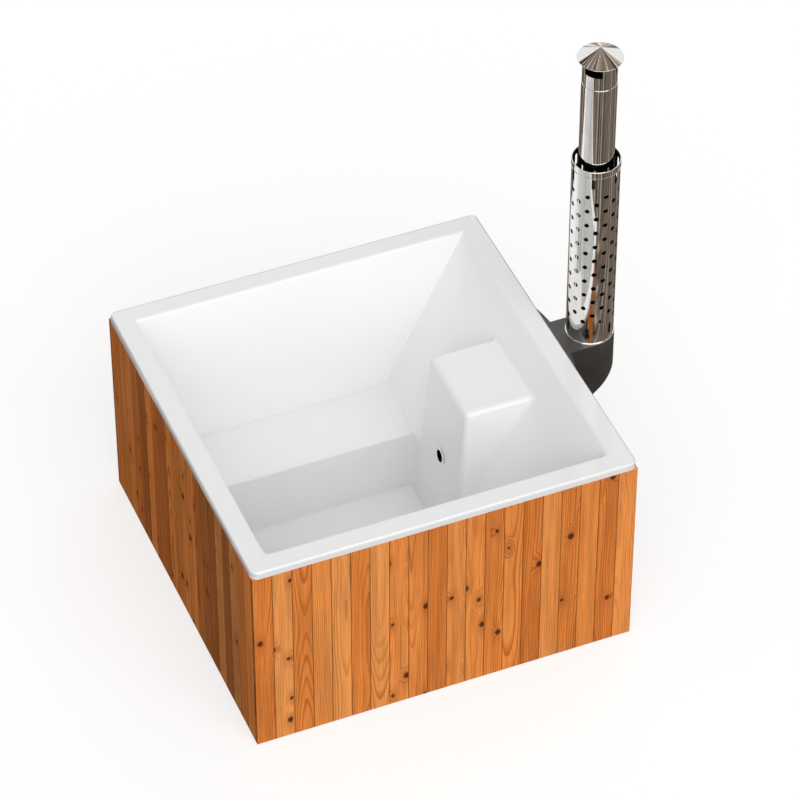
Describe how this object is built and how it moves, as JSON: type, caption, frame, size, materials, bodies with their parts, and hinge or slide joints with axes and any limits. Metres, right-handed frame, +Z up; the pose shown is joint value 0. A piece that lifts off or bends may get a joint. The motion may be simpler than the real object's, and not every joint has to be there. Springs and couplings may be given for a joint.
{
  "type": "wood-burning hot tub",
  "caption": "Square hot tub clad in upright boards, with a moulded liner, a built-in wood stove in a niche, and a guarded chimney on an outside flue box.",
  "frame": {"origin": "on the floor, under the middle of the square tub", "axes": "+X towards the stove's side, +Y towards the back, +Z up"},
  "size_m": [2.087, 1.91, 2.646],
  "materials": {
    "cladding_wood": "oiled, satin",
    "frame_timber": "planed, bare",
    "white_acrylic": "gloss",
    "black_steel": "matt heat-proof paint",
    "polished_steel": "polished stainless",
    "stove_steel": "bare plate",
    "cast_iron": "as cast",
    "rubber": "matt",
    "brass": "machined",
    "grey_pipe": "satin",
    "rope_seal": "knitted rope"
  },
  "bodies": {
    "tub": {"front_cladding": "cladding_wood", "back_cladding": "cladding_wood", "left_cladding": "cladding_wood", "right_cladding": "cladding_wood", "base_bearers": "frame_timber", "floor_deck": "frame_timber", "corner_posts": "frame_timber", "stove_studs": "frame_timber", "top_rails": "frame_timber", "mid_rails": "frame_timber", "bottom_rails": "frame_timber", "seat_ribs": "frame_timber", "liner": "white_acrylic", "front_casing": "black_steel", "flue_box": "black_steel", "casing_standoffs": "black_steel", "stove_front_plate": "black_steel", "smoke_duct": "black_steel", "door_frame": "black_steel", "hinge_lugs": "black_steel", "latch_catch": "black_steel", "flue_pipe": "polished_steel", "heat_guard": "polished_steel", "guard_top_ring": "polished_steel", "guard_base_ring": "polished_steel", "cap_collar": "polished_steel", "rain_cap": "polished_steel", "flue_spigot": "polished_steel", "port_fittings": "polished_steel", "drain_fitting": "polished_steel", "drain_strainer": "polished_steel", "hose_clamps": "polished_steel", "stove_feet": "stove_steel", "stove_jacket": "stove_steel", "firebox": "stove_steel", "firebox_ledges": "stove_steel", "smoke_baffle": "stove_steel", "door_hinge_pins": "stove_steel", "fire_grate": "cast_iron", "port_gaskets": "rubber", "drain_gasket": "rubber", "jacket_hoses": "rubber", "drain_valve_body": "brass", "port_nuts": "brass", "drain_nut": "grey_pipe", "drain_elbow": "grey_pipe", "drain_pipe": "grey_pipe"},
    "fire_door": {"fire_door": "black_steel", "door_heat_plate": "stove_steel", "door_gasket": "rope_seal"},
    "door_handle": {"door_handle": "polished_steel"},
    "ash_drawer": {"ash_drawer": "black_steel", "ash_drawer_knob": "polished_steel", "air_slide_guides": "black_steel"},
    "air_slide": {"air_slide": "black_steel"},
    "drain_lever": {"drain_lever": "polished_steel", "drain_ball": "brass"}
  },
  "joints": [
    {"name": "fire_door_swing", "type": "hinge", "parent": "tub", "child": "fire_door", "pos_m": [0.953, -0.165, 0.4303], "axis": [0, 0, -1], "range_deg": [0, 110]},
    {"name": "door_handle_turn", "type": "hinge", "parent": "fire_door", "child": "door_handle", "pos_m": [0.957, 0.09, 0.4303], "axis": [1, 0, 0], "range_deg": [0, 90]},
    {"name": "ash_drawer_slide", "type": "slide", "parent": "tub", "child": "ash_drawer", "axis": [1, 0, 0], "range_m": [0, 0.35]},
    {"name": "air_slide_shift", "type": "slide", "parent": "ash_drawer", "child": "air_slide", "axis": [0, 1, 0], "range_m": [0, 0.02]},
    {"name": "drain_lever_turn", "type": "hinge", "parent": "tub", "child": "drain_lever", "pos_m": [-0.21175, 0.948, 0.0573], "axis": [0, 0, 1], "range_deg": [0, 90]}
  ]
}
